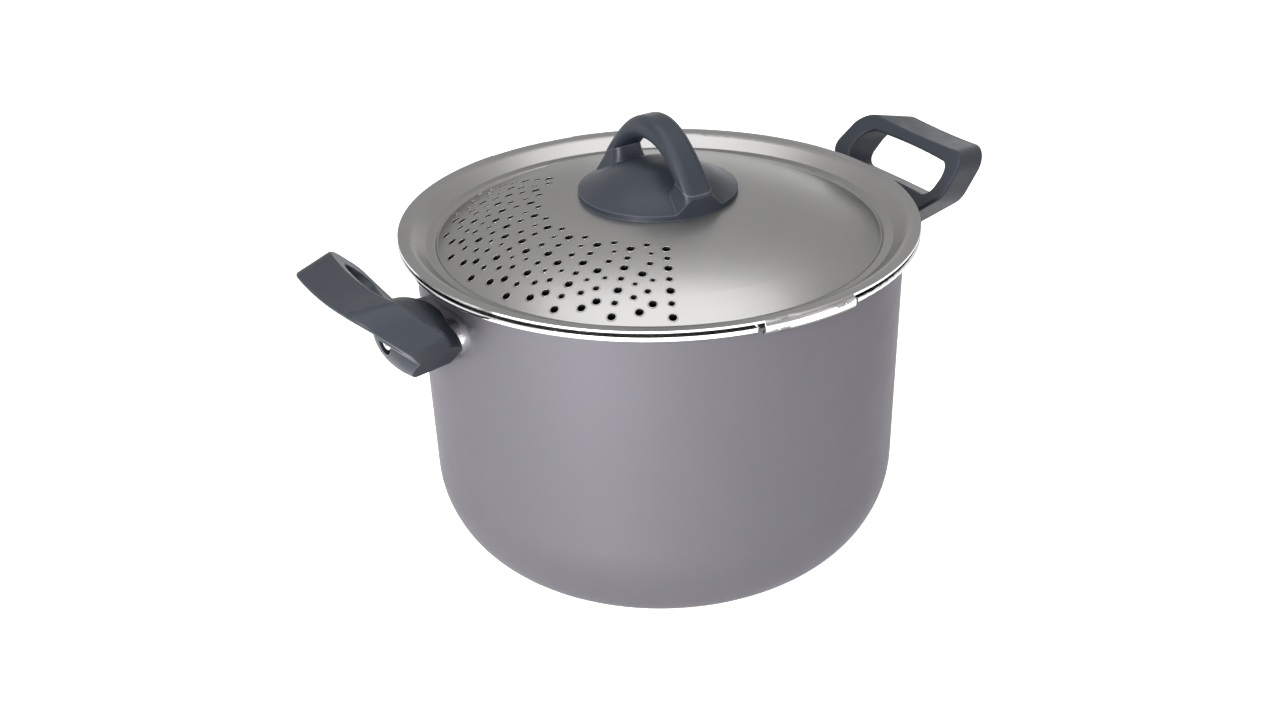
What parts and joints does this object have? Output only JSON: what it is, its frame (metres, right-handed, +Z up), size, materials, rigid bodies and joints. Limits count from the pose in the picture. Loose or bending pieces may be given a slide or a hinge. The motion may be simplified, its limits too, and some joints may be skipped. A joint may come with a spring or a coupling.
{
  "type": "pasta pot",
  "caption": "Tall round pasta pot with loop handles and a perforated strainer lid that drops in, turns to lock and lifts off by an arched knob.",
  "frame": {"origin": "middle of the pot's base, on the surface it stands on", "axes": "+Z up along the pot's axis, +X through the middle of the right handle, +Y along the knob's arch; the strainer holes are centred on -X"},
  "size_m": [0.3338, 0.239, 0.2119],
  "materials": {
    "graphite_coating": "satin metallic graphite, with a bright polished rim",
    "lid_coating": "satin metallic grey",
    "charcoal_plastic": "fine matt grain",
    "polished_steel": "polished",
    "plain_steel": "bright zinc",
    "insert_brass": "plain"
  },
  "bodies": {
    "pot": {"pot_body": "graphite_coating", "handle_studs": "plain_steel", "left_collar": "polished_steel", "right_collar": "polished_steel", "left_handle": "charcoal_plastic", "right_handle": "charcoal_plastic", "handle_washers": "plain_steel", "handle_screws": "plain_steel"},
    "lid_pivot": {"lid_screw": "plain_steel", "lid_washer": "plain_steel"},
    "lid": {"lid_plate": "lid_coating", "knob_base": "charcoal_plastic", "knob_loop": "charcoal_plastic", "knob_loop_screws": "plain_steel", "knob_insert": "insert_brass"}
  },
  "joints": [
    {"name": "lid_lift", "type": "slide", "parent": "pot", "child": "lid_pivot", "axis": [0, 0, 1], "range_m": [0, 0.08]},
    {"name": "lid_turn", "type": "hinge", "parent": "lid_pivot", "child": "lid", "pos_m": [0, 0, 0.1623], "axis": [0, 0, 1], "range_deg": [-90, 90]}
  ]
}
